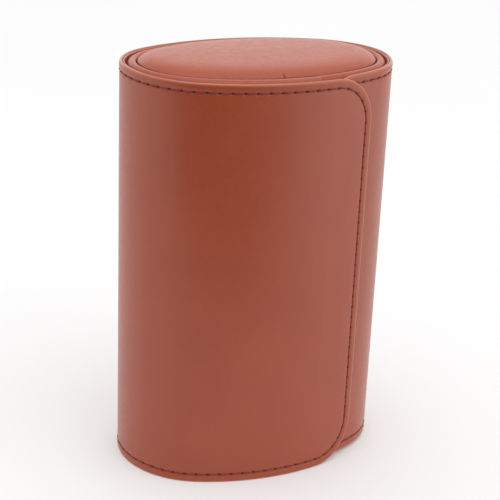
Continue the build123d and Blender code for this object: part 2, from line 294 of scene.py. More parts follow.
def edge_round(inset, thick, top):
    """Depth of a sheet's face near its folded edge, as a rounded nose."""
    nose = NOSE_SHARE * thick
    share = np.clip(1 - inset / nose, 0, 1)
    half = thick / 2 * np.sqrt(1 - share**2)
    return -thick / 2 + (half if top else -half)


# Relief of a stitch row: its holes, the groove under the thread, the wider dip round that, the
# extra pull at each hole, and the swell between the row and the edge.
HOLE_LONG, HOLE_WIDE, HOLE_DEPTH = 0.78 * MM, 0.46 * MM, 0.3 * MM
HOLE_SHADE = 1.6
GROOVE_WIDE, GROOVE_DEPTH = 0.55 * MM, 0.12 * MM
PULL_WIDE, PULL_DEPTH = 1.3 * MM, 0.07 * MM
HOLE_PULL_LONG, HOLE_PULL_DEPTH = 1.1 * MM, 0.10 * MM
SWELL_INSET, SWELL_WIDE, SWELL_RISE = 1.8 * MM, 0.9 * MM, 0.10 * MM


def stitch_relief(index, inset):
    """Relief of the leather at a stitch row, how much painted shade its holes get, and how near its
    groove is, which sets the groove's painted shade.
    """
    from_hole = ((index + FINE_PER_STITCH / 2) % FINE_PER_STITCH) - FINE_PER_STITCH / 2
    along = from_hole * STITCH_PITCH / FINE_PER_STITCH
    across = inset - STITCH_INSET
    groove = gauss(across, GROOVE_WIDE)
    wide = gauss(across, PULL_WIDE)
    hole = gauss(np.hypot(along / HOLE_LONG, across / HOLE_WIDE), 1.0)
    pull = GROOVE_DEPTH * groove + PULL_DEPTH * wide
    pull += HOLE_PULL_DEPTH * wide * gauss(along, HOLE_PULL_LONG) + HOLE_DEPTH * hole
    swell = SWELL_RISE * gauss(inset - SWELL_INSET, SWELL_WIDE)
    return swell - pull, np.clip(HOLE_SHADE * hole, 0, 1), groove


# Loops of points round a sheet, by their distance from its edge in millimetres: close together at
# the edge's nose and at the stitch row, and further apart towards the middle.
FINE_INSETS = [0.04, 0.14, 0.3, 0.5, 0.75, 1.1, 1.5, 1.9, 2.3, 2.6, 2.85, 3.05, 3.25, 3.42, 3.58, 3.75,
               3.95, 4.15, 4.4, 4.7, 5.1, 5.7]
COARSE_INSETS = [6.4, 7.8, 9.3, 10.9]
BACK_INSETS = [0.04, 0.14, 0.3, 0.5, 0.75]
LINING_INSETS = [0.03, 0.08, 0.16, 0.3, 0.5]


def sheet_mesh(thick, depth, extra_inset, stitched):
    """Both faces and the rounded edge of one layer of the wrap, laid out flat and put in its place.

    Returns points, faces, the flat s of each point, and the layers "hole", "groove" and "edge": painted
    shade in the holes, painted shade in the groove, and the paler folded edge that is partly a painted
    highlight."""
    flat, depths, hole, groove, edge = [], [], [], [], []
    faces = []

    def add_loop(inset, fine, top):
        """A loop of points, one on each spoke or on every FINE_PER_COARSEth."""
        step = 1 if fine else FINE_PER_COARSE
        first = len(flat)
        for index in range(0, WRAP.fine, step):
            flat.append(WRAP.spoke(index, inset + extra_inset))
            relief, dark, near = 0.0, 0.0, 0.0
            if stitched and top and fine:
                relief, dark, near = stitch_relief(index, inset)
            depths.append(depth + edge_round(inset, thick, top) + relief)
            hole.append(dark)
            groove.append(near)
            # The edge layer: the paler folded edge, partly its own tone and partly a painted highlight.
            edge.append(float(gauss(inset, EDGE_FADE)))
        return list(range(first, len(flat)))

    def join(outer, inner, flip):
        """Faces between two loops; the outer may have FINE_PER_COARSE times the points."""
        ratio = len(outer) // len(inner)
        for i in range(len(inner)):
            a, b = inner[i], inner[(i + 1) % len(inner)]
            run = [outer[(i * ratio + k) % len(outer)] for k in range(ratio + 1)]
            middle = ratio // 2
            if ratio == 1:
                made = [(a, run[0], run[1], b)]
            else:
                made = [(a, run[k], run[k + 1]) for k in range(middle)]
                made.append((a, run[middle], b))
                made += [(b, run[k], run[k + 1]) for k in range(middle, ratio)]
            faces.extend(tuple(reversed(f)) if flip else f for f in made)

    def interior(loop, top, flip):
        """Fills a coarse loop: last ring to the inner rectangle, then a grid."""
        cols, rows = WRAP.wide * COARSE_PER_STITCH, WRAP.tall * COARSE_PER_STITCH
        fan = [COARSE_PER_STITCH * turn for turn in WRAP.turns]
        first = len(flat)
        for j in range(rows + 1):
            for i in range(cols + 1):
                flat.append(WRAP.inner(i / cols, j / rows))
                depths.append(depth + edge_round(FAR_INSET, thick, top))
                hole.append(0.0)
                groove.append(0.0)
                edge.append(0.0)

        def grid(i, j):
            return first + j * (cols + 1) + i

        ring = [grid(i, 0) for i in range(cols)] + [grid(cols, 0)] * fan[0]
        ring += [grid(cols, j) for j in range(rows)] + [grid(cols, rows)] * fan[1]
        ring += [grid(cols - i, rows) for i in range(cols)] + [grid(0, rows)] * fan[2]
        ring += [grid(0, rows - j) for j in range(rows)] + [grid(0, 0)] * fan[3]
        count = len(loop)
        for i in range(count):
            a, b = ring[i], ring[(i + 1) % count]
            o, p = loop[i], loop[(i + 1) % count]
            face = (a, o, p) if a == b else (a, o, p, b)
            faces.append(tuple(reversed(face)) if flip else face)
        for j in range(rows):
            for i in range(cols):
                face = (grid(i, j), grid(i + 1, j), grid(i + 1, j + 1), grid(i, j + 1))
                faces.append(tuple(reversed(face)) if flip else face)

    def fill(insets, fine, top, flip, edge_loop):
        """One face of the sheet, from its edge's loop to the middle."""
        outer = edge_loop
        for inset in insets:
            loop = add_loop(inset * MM, fine, top)
            join(outer, loop, flip)
            outer = loop
        for inset in COARSE_INSETS:
            loop = add_loop(inset * MM - (0 if stitched else extra_inset), False, top)
            join(outer, loop, flip)
            outer = loop
        interior(outer, top, flip)

    if stitched:
        nose = add_loop(0.0, True, True)
        fill(FINE_INSETS, True, True, False, nose)
        fill(BACK_INSETS, True, False, True, nose)
    else:
        nose = add_loop(0.0, False, True)
        fill(LINING_INSETS, False, True, False, nose)
        fill(LINING_INSETS, False, False, True, nose)
    flat = np.array(flat)
    points = place(flat, np.array(depths))
    layers = {"hole": np.array(hole), "groove": np.array(groove), "edge": np.array(edge)}
    return points, faces, flat[:, 0], layers


def column_near(s):
    """The s of the coarse column of the layout nearest to s."""
    cols = WRAP.wide * COARSE_PER_STITCH
    span = WRAP.length - WRAP.free - WRAP.under
    return WRAP.free + span * round((s - WRAP.free) / span * cols) / cols


CUT_SIDE = column_near((HINGE_S + CURL_S) / 2)
CUT_BACK = column_near(HINGE_S + BODY_CUT)
ZONES = {"front": (-math.inf, CUT_SIDE), "side": (CUT_SIDE, CUT_BACK), "body": (CUT_BACK, math.inf)}


def split_sheet(prefix, points, faces, flat_s, layers):
    """Cuts one layer into its three zones, closed at the cuts, with the whole layer's normals."""
    normals = vertex_normals(points, faces)
    made = {}
    for zone, (low, high) in ZONES.items():
        middle = [flat_s[list(f)].mean() for f in faces]
        chosen = [f for f, m in zip(faces, middle) if low < m < high]
        used = sorted({v for f in chosen for v in f})
        index = {v: i for i, v in enumerate(used)}
        local = [tuple(index[v] for v in f) for f in chosen]
        # An edge that only one face of the zone uses lies on a cut.
        edges = {}
        for face in local:
            for a, b in zip(face, face[1:] + face[:1]):
                if (b, a) in edges:
                    del edges[(b, a)]
                else:
                    edges[(a, b)] = True
        following = {b: a for a, b in edges}
        verts = points[used]
        vert_normals = normals[used]
        extra = {key: values[used] for key, values in layers.items()}
        while following:
            start, ring = next(iter(following)), []
            at = start
            while at in following:
                ring.append(at)
                at = following.pop(at)
            base = len(verts)
            verts = np.concatenate([verts, verts[ring]])
            ends = verts[ring]
            cap = np.cross(ends[len(ring) // 3] - ends[0], ends[2 * len(ring) // 3] - ends[0])
            size = np.linalg.norm(cap)
            cap = cap / size if size > 0 else np.array([0, 0, 1.0])
            turn = np.cross(ends - ends[0], np.roll(ends, -1, 0) - ends[0]).sum(0)
            cap = cap if cap @ turn > 0 else -cap
            vert_normals = np.concatenate([vert_normals, np.tile(cap, (len(ring), 1))])
            for key in extra:
                extra[key] = np.concatenate([extra[key], extra[key][ring]])
            local.append(tuple(base + i for i in range(len(ring))))
        made[zone] = make_object(f"{prefix}_{zone}", verts, local, vert_normals, extra)
    return made


# ---- Thread -----------------------------------------------------------------------
THREAD_R = 0.20 * MM
THREAD_SINK = 0.05       # the middle of a stitch lies this far in, in millimetres
THREAD_DIVE = 0.62       # and its ends this much further
THREAD_TAPER = 0.35      # how far a stitch thins towards its ends
STITCH_TRIM = 1.2        # fine steps from a hole's middle to the stitch's end
STITCH_RINGS = 9
TUBE_SIDES = 8


def tube(line, across, up, radius):
    """A closed tube round a line of points, with its two cross directions and radius at each."""
    verts, faces = [], []
    for ring in range(len(line)):
        for side in range(TUBE_SIDES):
            angle = 2 * math.pi * side / TUBE_SIDES
            spoke = math.cos(angle) * across[ring] + math.sin(angle) * up[ring]
            verts.append(line[ring] + radius[ring] * spoke)
    last = (len(line) - 1) * TUBE_SIDES
    for first in range(0, last, TUBE_SIDES):
        for side in range(TUBE_SIDES):
            a, b = first + side, first + (side + 1) % TUBE_SIDES
            faces.append((a, b, b + TUBE_SIDES, a + TUBE_SIDES))
    faces.append(tuple(reversed(range(TUBE_SIDES))))
    faces.append(tuple(last + side for side in range(TUBE_SIDES)))
    return verts, faces


def thread_mesh():
    """Every stitch as a short round length of thread that dives into its two holes."""
    parts = {zone: ([], []) for zone in ZONES}
    for number in range(WRAP.stitches):
        start = number * FINE_PER_STITCH
        index = np.linspace(start + STITCH_TRIM, start + FINE_PER_STITCH - STITCH_TRIM, STITCH_RINGS)
        share = np.linspace(-1, 1, STITCH_RINGS)
        depth = (-THREAD_SINK - THREAD_DIVE * np.abs(share) ** 4) * MM
        flat = np.array([WRAP.spoke(i, STITCH_INSET) for i in index])
        line = place(flat, depth)
        _, normal = WRAP_PATH.at(flat[:, 0])
        outward = np.concatenate([normal, np.zeros((STITCH_RINGS, 1))], 1)
        along = np.gradient(line, axis=0)
        along /= np.linalg.norm(along, axis=1, keepdims=True)
        across = np.cross(along, outward)
        across /= np.linalg.norm(across, axis=1, keepdims=True)
        up = np.cross(across, along)
        middle = flat[:, 0].mean()
        zone = next(z for z, (low, high) in ZONES.items() if low < middle < high)
        verts, faces = parts[zone]
        base = len(verts)
        radius = THREAD_R * np.sqrt(1 - THREAD_TAPER * np.abs(share) ** 3)
        new_verts, new_faces = tube(line, across, up, radius)
        verts.extend(new_verts)
        faces.extend(tuple(base + vertex for vertex in face) for face in new_faces)
    return {zone: make_object(f"thread_{zone}", verts, faces) for zone, (verts, faces) in parts.items()}


# ---- Ends -------------------------------------------------------------------------
END_STEPS = 440


def oval_ring(inset, z, scale=1.0):
    """A ring of points on the oval, `inset` inside it, or scaled about its centre."""
    s = np.arange(END_STEPS) / END_STEPS * OVAL_PATH.length
    points, normals = OVAL_PATH.at(s)
    ring = (points - normals * inset) * scale
    z = z + lean(ring[:, 1], z)
    return np.concatenate([ring, np.broadcast_to(z, END_STEPS)[:, None]], 1)


def lathe(name, rings, dark, closed, centre=None):
    """A mesh from rings round the oval, each given as much painted shade as `dark` says: closed into a
    tube, or ending at a centre point."""
    verts = np.concatenate(rings)
    hole = np.repeat(dark, END_STEPS)
    faces = []
    count = len(rings)
    for r in range(count if closed else count - 1):
        upper = (r + 1) % count
        for i in range(END_STEPS):
            j = (i + 1) % END_STEPS
            low, high = r * END_STEPS, upper * END_STEPS
            faces.append((low + i, low + j, high + j, high + i))
    if not closed:
        verts = np.concatenate([verts, [centre]])
        hole = np.append(hole, 0.0)
        tip = len(verts) - 1
        top = (count - 1) * END_STEPS
        faces.extend((top + i, top + (i + 1) % END_STEPS, tip) for i in range(END_STEPS))
        faces.append(tuple(reversed(range(END_STEPS))))
    piece = make_object(name, verts, faces, layers={"hole": hole})
    fix_normals(piece)
    return piece


def fix_normals(piece):
    """Turns all faces of a closed mesh outward."""
    mesh = bmesh.new()
    mesh.from_mesh(piece.data)
    bmesh.ops.recalc_face_normals(mesh, faces=mesh.faces)
    mesh.to_mesh(piece.data)
    mesh.free()


# Sections of the bead and the domed panel: distance inside the wrap's surface and height over the
# end board, in millimetres.
BEAD_PROFILE = [(2.8, 0.0), (2.8, 0.6), (2.86, 1.15), (3.02, 1.65), (3.3, 2.15), (3.7, 2.6), (4.15, 2.88),
                (4.65, 3.0), (5.2, 2.98), (5.7, 2.8), (6.08, 2.5), (6.32, 2.1), (6.42, 1.5), (6.42, 0.0)]
DOME_PROFILE = [(6.52, 0.0), (6.52, 1.4), (6.58, 2.0), (6.74, 2.45), (7.0, 2.8), (7.5, 3.2), (8.2, 3.7),
                (9.2, 4.25), (10.6, 4.75), (12.4, 5.15), (14.6, 5.45), (17.0, 5.65)]
BOTTOM_SQUEEZE = 0.85    # height of the bottom bead over the top bead's
BOTTOM_FLAT_FROM, BOTTOM_FLAT = 2.6, 2.94
DOME_SEAM = 6.95         # the shade of the seam ends here
SEAM_FADE = 0.25
DOME_CENTRE = 6.0
DOME_SCALES = [0.85, 0.68, 0.5, 0.32, 0.15]    # inner rings, over the section's last ring
PUCKER = 0.05 * MM
PUCKER_INSET, PUCKER_WIDE = 7.8, 1.3
PUCKER_WAVES = [(31, 1.0, 1.1), (47, 0.8, 0.4), (73, 0.6, 2.3)]    # count round the ring, size, phase


def puckers():
    """Uneven gathers of leather round a seam, from -1 to 1."""
    turn = np.arange(END_STEPS) / END_STEPS * 2 * math.pi
    wave = sum(size * np.sin(count * turn + phase) for count, size, phase in PUCKER_WAVES)
    wave /= sum(size for _, size, _ in PUCKER_WAVES)
    return wave * (0.6 + 0.4 * np.sin(3 * turn + 0.7))


BEAD_OUT = BEAD_PROFILE[0][0]
BEAD_WIDE = BEAD_PROFILE[-1][0] - BEAD_OUT
MOUTH_INSET = 1.2 * MM   # the wide part's outer edge lies this far inside the wrap's surface
MOUTH_BEAD_X = 11.0 * MM
MOUTH_STEP = 1.2 * MM    # the wide part ends over this length
TUCK_X = -19.0 * MM      # a dent, and the start of the loose, gathered leather
TUCK_RAMP = 2 * MM
TUCK_DEEP, TUCK_WIDE = 0.9 * MM, 0.9 * MM
LOOSE_BACK, LOOSE_WAVE = 0.35 * MM, 0.12 * MM
GATHER, FINE_GATHER = 0.46 * MM, 0.31 * MM


def mouth_bulge():
    """How far the bead's outer edge stands forward across the mouth, round the ring."""
    end_r = END_R - BEAD_OUT * MM
    depth = HALF_DEPTH - MOUTH_INSET
    front_r = (END_X**2 + depth**2 - end_r**2) / (2 * (depth - end_r))
    ring = oval_ring(BEAD_OUT * MM, 0.0)[:, :2]
    _, normals = OVAL_PATH.at(np.arange(END_STEPS) / END_STEPS * OVAL_PATH.length)
    away = ring - (0, front_r - depth)
    outward = (away * normals).sum(1)
    inside = front_r**2 - (away**2).sum(1) + outward**2
    tangent = math.atan2(front_r - depth, END_X)
    front = (ring[:, 1] < 0) & (np.abs(ring[:, 0]) < END_X + end_r * math.cos(tangent))
    bulge = np.where(front, np.sqrt(np.maximum(inside, 0)) - outward, 0)
    step = np.clip((MOUTH_BEAD_X - ring[:, 0]) / MOUTH_STEP, 0, 1)
    bulge = np.clip(bulge, 0, None) * step * step * (3 - 2 * step)
    loose = front * np.clip((ring[:, 0] - TUCK_X) / TUCK_RAMP, 0, 1) * step
    gathers = np.sin(ring[:, 0] / GATHER) + 0.7 * np.sin(ring[:, 0] / FINE_GATHER + 1.3)
    bulge -= loose * (LOOSE_BACK + LOOSE_WAVE * gathers)
    return bulge - front * TUCK_DEEP * gauss(ring[:, 0] - TUCK_X, TUCK_WIDE)


def end_bead(name, base, sign, squeeze):
    """The leather bead round one end. sign is 1 for the top, -1 for the bottom."""
    bulge = mouth_bulge()
    _, normals = OVAL_PATH.at(np.arange(END_STEPS) / END_STEPS * OVAL_PATH.length)
    rings = []
    for q, h in BEAD_PROFILE:
        ring = oval_ring(q * MM, base + sign * h * MM * squeeze)
        ring[:, :2] += normals * (bulge * (1 - (q - BEAD_OUT) / BEAD_WIDE))[:, None]
        rings.append(ring)
    return lathe(name, rings, [0] * len(rings), True)


def end_panel(name, base, sign, heights):
    """The padded panel of one end, with gathers in the leather along its seam and painted shade in the
    seam's crease.
    """
    gathers = puckers()
    rings = []
    for q, h in DOME_PROFILE:
        wave = PUCKER * gathers * gauss(q - PUCKER_INSET, PUCKER_WIDE)
        rings.append(oval_ring(q * MM, base + sign * (heights(h) * MM + wave)))
    # Painted shade in the seam's crease at the dome's edge, carried in the layer "hole".
    dark = [min(1, max(0, (DOME_SEAM - q) / SEAM_FADE)) for q, _ in DOME_PROFILE]
    dark += [0] * len(DOME_SCALES)
    last_q, last_h = DOME_PROFILE[-1]
    for scale in DOME_SCALES:
        h = DOME_CENTRE + (last_h - DOME_CENTRE) * scale**2
        rings.append(oval_ring(last_q * MM, base + sign * heights(h) * MM, scale))
    return lathe(name, rings, dark, False, (0, 0, base + sign * heights(DOME_CENTRE) * MM))


TAIL_X = -3.0 * MM
TAIL_R = 0.24 * MM
# Inset and height over the end board along the thread's end, in millimetres.
TAIL_LINE = [(6.30, 2.25), (6.47, 2.30), (6.70, 2.75), (7.05, 3.15), (7.6, 3.55), (8.3, 4.0)]


def thread_tail(name, x, base):
    """The loose end of the end panel's seam thread, lying up the edge of the dome."""
    s = OVAL_PATH.nearest(x, -HALF_DEPTH)
    point, normal = OVAL_PATH.at([s])
    outward = np.array([normal[0][0], normal[0][1], 0])
    across = np.array([-outward[1], outward[0], 0])
    foot = np.array([point[0][0], point[0][1], base + lean(point[0][1], base)])
    line = np.array([foot - outward * q * MM + (0, 0, h * MM) for q, h in TAIL_LINE])
    along = np.gradient(line, axis=0)
    along /= np.linalg.norm(along, axis=1, keepdims=True)
    count = len(line)
    up = [np.cross(across, direction) for direction in along]
    verts, faces = tube(line, [across] * count, up, [TAIL_R] * count)
    piece = make_object(name, np.array(verts), faces)
    fix_normals(piece)
    return piece


# ---- Pillows and dividers ----------------------------------------------------------
PILLOW_STEPS, PILLOW_ROWS = 96, 33
PILLOW_SQUARE = 2.9      # power of the rounded-square section
PILLOW_CROWN = 0.93      # width at the seams, over the width at the middle
PILLOW_TALL = 0.95       # height between the seams, over the pillow's height
PILLOW_FOLDS, PILLOW_FOLD = 11, 0.006
# Rings of a pillow's end: width over the seam's width, and rise over half the pillow's height.
PILLOW_END = [(0.975, 0.012), (0.90, 0.03), (0.75, 0.043), (0.5, 0.05), (0.25, 0.05)]


def pillow_mesh(name, low, high):
    """A stuffed watch pillow: crowned sides that pull in at the seams of its two ends."""
    centre = (low + high) / 2
    half = (high - low) / 2
    verts, faces = [], []
    for row in range(PILLOW_ROWS):
        level = -1 + 2 * row / (PILLOW_ROWS - 1)
        crown = PILLOW_CROWN + (1 - PILLOW_CROWN) * (1 - abs(level) ** 2.4)
        z = centre.z + half.z * PILLOW_TALL * level
        for i in range(PILLOW_STEPS):
            a = 2 * math.pi * i / PILLOW_STEPS
            c, s = math.cos(a), math.sin(a)
            r = (abs(c) ** PILLOW_SQUARE + abs(s) ** PILLOW_SQUARE) ** (-1 / PILLOW_SQUARE)
            fold = 1 + PILLOW_FOLD * math.sin(PILLOW_FOLDS * a + 2.0 * level) * abs(level) ** 6
            reach = crown * r * fold
            verts.append((centre.x + half.x * reach * c, centre.y + half.y * reach * s, z))
    for seam, sign in ((0, -1), ((PILLOW_ROWS - 1) * PILLOW_STEPS, 1)):
        ring = list(range(seam, seam + PILLOW_STEPS))
        for share, rise in PILLOW_END:
            new = list(range(len(verts), len(verts) + PILLOW_STEPS))
            for x, y, z in verts[seam:seam + PILLOW_STEPS]:
                verts.append((centre.x + (x - centre.x) * share, centre.y + (y - centre.y) * share,
                              z + sign * half.z * rise))
            for i in range(PILLOW_STEPS):
                j = (i + 1) % PILLOW_STEPS
                faces.append((ring[i], ring[j], new[j], new[i]))
            ring = new
        tip = len(verts)
        verts.append((centre.x, centre.y, verts[ring[0]][2]))
        faces.extend((ring[i], ring[(i + 1) % PILLOW_STEPS], tip) for i in range(PILLOW_STEPS))
    for row in range(PILLOW_ROWS - 1):
        for i in range(PILLOW_STEPS):
            a, b = row * PILLOW_STEPS + i, row * PILLOW_STEPS + (i + 1) % PILLOW_STEPS
            faces.append((a, b, b + PILLOW_STEPS, a + PILLOW_STEPS))
    piece = make_object(name, np.array(verts), faces)
    fix_normals(piece)
    return piece


DIVIDER_STEPS = 600
DIVIDER_FRONT_STEPS = 90
DIVIDER_SMOOTHING = 6    # passes that ease the inward direction round the two corners
DIVIDER_TALL = 0.97
DIVIDER_CLEAR = 0.02 * MM
DIVIDER_TURNS = [-90, -70, -45, -20, 0, 20, 45, 70, 90]    # degrees round the soft edge


def divider_mesh(name, low, high):
    """A suede-covered divider with soft edges, cut straight across at the front."""
    s = np.linspace(0, OVAL_PATH.length, DIVIDER_STEPS, endpoint=False)
    points, normals = OVAL_PATH.at(s)
    outline = points - normals * (HALF_WIDTH - high.x)
    kept = outline[outline[:, 1] >= low.y]
    start = int(np.argmax(np.linalg.norm(np.roll(kept, 1, 0) - kept, axis=1)))
    back = np.roll(kept, -start, 0)
    front = np.linspace(back[-1], back[0], DIVIDER_FRONT_STEPS)[1:-1]
    ring = np.concatenate([back, front])
    tangent = np.roll(ring, -1, 0) - np.roll(ring, 1, 0)
    inward = np.stack([-tangent[:, 1], tangent[:, 0]], 1)
    inward /= np.linalg.norm(inward, axis=1, keepdims=True)
    for _ in range(DIVIDER_SMOOTHING):
        inward = (np.roll(inward, 1, 0) + inward + np.roll(inward, -1, 0)) / 3
    half = (high.z - low.z) / 2
    middle = (high.z + low.z) / 2
    count = len(ring)
    verts, faces = [], []
    for turn in DIVIDER_TURNS:
        pull, lift = 1.0 - math.cos(math.radians(turn)), math.sin(math.radians(turn))
        at = ring + inward * (DIVIDER_CLEAR + half * pull)
        verts.extend([(x, y, middle + half * DIVIDER_TALL * lift) for x, y in at])
    last = (len(DIVIDER_TURNS) - 1) * count
    for first in range(0, last, count):
        for i in range(count):
            a, b = first + i, first + (i + 1) % count
            faces.append((a, b, b + count, a + count))
    faces.append(tuple(reversed(range(count))))
    faces.append(tuple(last + i for i in range(count)))
    piece = make_object(name, np.array(verts), faces)
    fix_normals(piece)
    return piece


# ---- Materials ---------------------------------------------------------------------
class Nodes:
    """A small helper that adds and links shader nodes."""

    def __init__(self, name):
        self.material = bpy.data.materials.new(name)
        self.material.use_nodes = True
        self.tree = self.material.node_tree
        self.shader = self.tree.nodes["Principled BSDF"]
        self.coords = self.tree.nodes.new("ShaderNodeTexCoord").outputs["Object"]

    def node(self, kind, inputs=(), **settings):
        made = self.tree.nodes.new(kind)
        for key, value in settings.items():
            setattr(made, key, value)
        for key, value in dict(inputs).items():
            if isinstance(value, bpy.types.NodeSocket):
                self.tree.links.new(value, made.inputs[key])
            else:
                made.inputs[key].default_value = value
        return made

    def noise(self, scale, detail=3.0, roughness=0.55):
        made = self.node("ShaderNodeTexNoise", {"Vector": self.coords, "Scale": scale, "Detail": detail,
                                                "Roughness": roughness})
        return made.outputs["Fac"]

    def cells(self, scale):
        made = self.node("ShaderNodeTexVoronoi", {"Vector": self.coords, "Scale": scale},
                         feature="DISTANCE_TO_EDGE")
        return made.outputs["Distance"]

    def remap(self, value, low, high, new_low, new_high):
        made = self.node("ShaderNodeMapRange", {"Value": value, "From Min": low, "From Max": high,
                                                "To Min": new_low, "To Max": new_high})
        return made.outputs["Result"]

    def mix(self, factor, first, second):
        made = self.node("ShaderNodeMix", data_type="RGBA")
        sockets = (made.inputs["Factor"], made.inputs[6], made.inputs[7])
        for socket, value in zip(sockets, (factor, first, second)):
            if isinstance(value, bpy.types.NodeSocket):
                self.tree.links.new(value, socket)
            else:
                socket.default_value = value
        return made.outputs[2]

    def math(self, operation, first, second):
        made = self.node("ShaderNodeMath", {0: first, 1: second}, operation=operation)
        return made.outputs[0]

    def attribute(self, name):
        return self.node("ShaderNodeAttribute", attribute_name=name).outputs["Fac"]

    def bump(self, height, distance, strength, normal=None):
        inputs = {"Height": height, "Distance": distance, "Strength": strength}
        if normal is not None:
            inputs["Normal"] = normal
        return self.node("ShaderNodeBump", inputs).outputs["Normal"]

    def finish(self, color, roughness, normal=None, **plain):
        """Sets the shader's inputs; the keys of `plain` are its sockets' names with underscores."""
        for key, value in {"Base Color": color, "Roughness": roughness}.items():
            if isinstance(value, bpy.types.NodeSocket):
                self.tree.links.new(value, self.shader.inputs[key])
            else:
                self.shader.inputs[key].default_value = value
        if normal is not None:
            self.tree.links.new(normal, self.shader.inputs["Normal"])
        for key, value in plain.items():
            self.shader.inputs[key.replace("_", " ")].default_value = value
        return self.material


LEATHER, LEATHER_DEEP = (0.355, 0.055, 0.016, 1), (0.325, 0.048, 0.013, 1)
# Paler tan of the flecks and of the folded edges; at the edges it is partly a painted highlight.
PALE_TAN_AND_EDGE_HIGHLIGHT = (0.50, 0.150, 0.075, 1)
# Painted shade in the stitch holes.
HOLE_PAINTED_SHADE = (0.100, 0.004, 0.001, 1)
# Painted shade in the crease of the end panels' seam.
SEAM_PAINTED_SHADE = (0.150, 0.018, 0.008, 1)
END_LEATHER, END_DEEP = (0.37, 0.078, 0.038, 1), (0.35, 0.072, 0.034, 1)
LINING_LEATHER, LINING_DEEP = (0.29, 0.062, 0.026, 1), (0.25, 0.052, 0.021, 1)
TRAY_SUEDE, TRAY_DEEP = (0.16, 0.075, 0.045, 1), (0.10, 0.045, 0.028, 1)
PILLOW_SUEDE, PILLOW_DEEP = (0.24, 0.13, 0.085, 1), (0.17, 0.085, 0.055, 1)
THREAD_LIGHT, THREAD_DEEP = (0.38, 0.060, 0.024, 1), (0.26, 0.036, 0.014, 1)
BOARD_LIGHT, BOARD_DEEP = (0.30, 0.27, 0.23, 1), (0.20, 0.18, 0.15, 1)
NICKEL_LIGHT, NICKEL_DEEP = (0.66, 0.65, 0.64, 1), (0.52, 0.52, 0.54, 1)
FLOOR_LIGHT, FLOOR_DEEP = (0.70, 0.70, 0.70, 1), (0.66, 0.66, 0.66, 1)
WHITE = (1, 1, 1, 1)


def leather(name, light, deep, ior=1.5, coat=0.2, sheen=0.06, dark=HOLE_PAINTED_SHADE):
    """Smooth coated leather: faint fine grain, slow changes of tone, folded edges in a paler tone that is
    partly a painted highlight, painted shade in the groove under the thread, and matt painted shade in
    the holes and seams where the layer "hole" says."""
    nodes = Nodes(name)
    tone = nodes.remap(nodes.noise(35.0, 3.0), 0.3, 0.7, 0.0, 1.0)
    color = nodes.mix(tone, deep, light)
    flecks = nodes.remap(nodes.noise(2600.0, 2.0), 0.35, 0.65, 0.0, 0.12)
    color = nodes.mix(flecks, color, PALE_TAN_AND_EDGE_HIGHLIGHT)
    # Folded edges paler: partly the edge's own tone, partly a painted highlight.
    color = nodes.mix(nodes.remap(nodes.attribute("edge"), 0.25, 1.0, 0.0, 0.75), color, PALE_TAN_AND_EDGE_HIGHLIGHT)
    # Painted shade in the groove under the thread.
    color = nodes.mix(nodes.remap(nodes.attribute("groove"), 0.2, 1.0, 0.0, 0.3), color, deep)
    # Painted shade in the stitch holes, and in the end panels' seam.
    color = nodes.mix(nodes.attribute("hole"), color, dark)
    grain = nodes.math("MULTIPLY", nodes.cells(1500.0), nodes.noise(900.0, 2.0))
    normal = nodes.bump(grain, 0.00012, 0.35)
    normal = nodes.bump(nodes.noise(260.0, 4.0), 0.00010, 0.25, normal)
    roughness = nodes.remap(nodes.noise(420.0, 3.0), 0.3, 0.7, 0.34, 0.44)
    roughness = nodes.math("MAXIMUM", roughness, nodes.attribute("hole"))
    return nodes.finish(color, roughness, normal, IOR=ior, Coat_Weight=coat, Coat_Roughness=0.3,
                        Sheen_Weight=sheen, Sheen_Roughness=0.4)


def suede(name, light, deep):
    """Microsuede: short fuzzy nap with soft brushed patches."""
    nodes = Nodes(name)
    nap = nodes.remap(nodes.noise(60.0, 4.0), 0.35, 0.65, 0.0, 1.0)
    color = nodes.mix(nap, deep, light)
    fuzz = nodes.noise(3200.0, 2.0, 0.7)
    tips = tuple(1.5 * part for part in light[:3]) + (1,)
    color = nodes.mix(nodes.remap(fuzz, 0.3, 0.7, 0.0, 0.35), color, tips)
    normal = nodes.bump(fuzz, 0.00018, 0.5)
    return nodes.finish(color, 0.92, normal, Sheen_Weight=0.35, Sheen_Roughness=0.5)


def thread_material(name):
    """Matt red-brown thread with its twist."""
    nodes = Nodes(name)
    waves = nodes.node("ShaderNodeTexWave", {"Vector": nodes.coords, "Scale": 900.0, "Distortion": 1.5},
                       bands_direction="DIAGONAL")
    twist = waves.outputs["Fac"]
    color = nodes.mix(twist, THREAD_DEEP, THREAD_LIGHT)
    return nodes.finish(color, 0.85, nodes.bump(twist, 0.00006, 0.4), IOR=1.3)


def board(name):
    """Grey board with pressed fibres."""
    nodes = Nodes(name)
    fibres = nodes.node("ShaderNodeTexNoise", {"Vector": nodes.coords, "Scale": 700.0, "Detail": 5.0,
                                               "Distortion": 1.2}).outputs["Fac"]
    color = nodes.mix(nodes.remap(fibres, 0.3, 0.7, 0.0, 1.0), BOARD_DEEP, BOARD_LIGHT)
    return nodes.finish(color, 0.85, nodes.bump(fibres, 0.0001, 0.3))


def metal(name):
    """Nickel-plated steel with faint turning marks."""
    nodes = Nodes(name)
    marks = nodes.noise(1800.0, 2.0)
    color = nodes.mix(marks, NICKEL_DEEP, NICKEL_LIGHT)
    return nodes.finish(color, 0.28, nodes.bump(marks, 0.00003, 0.2), Metallic=1.0)


def paint(piece, material):
    piece.data.materials.clear()
    piece.data.materials.append(material)


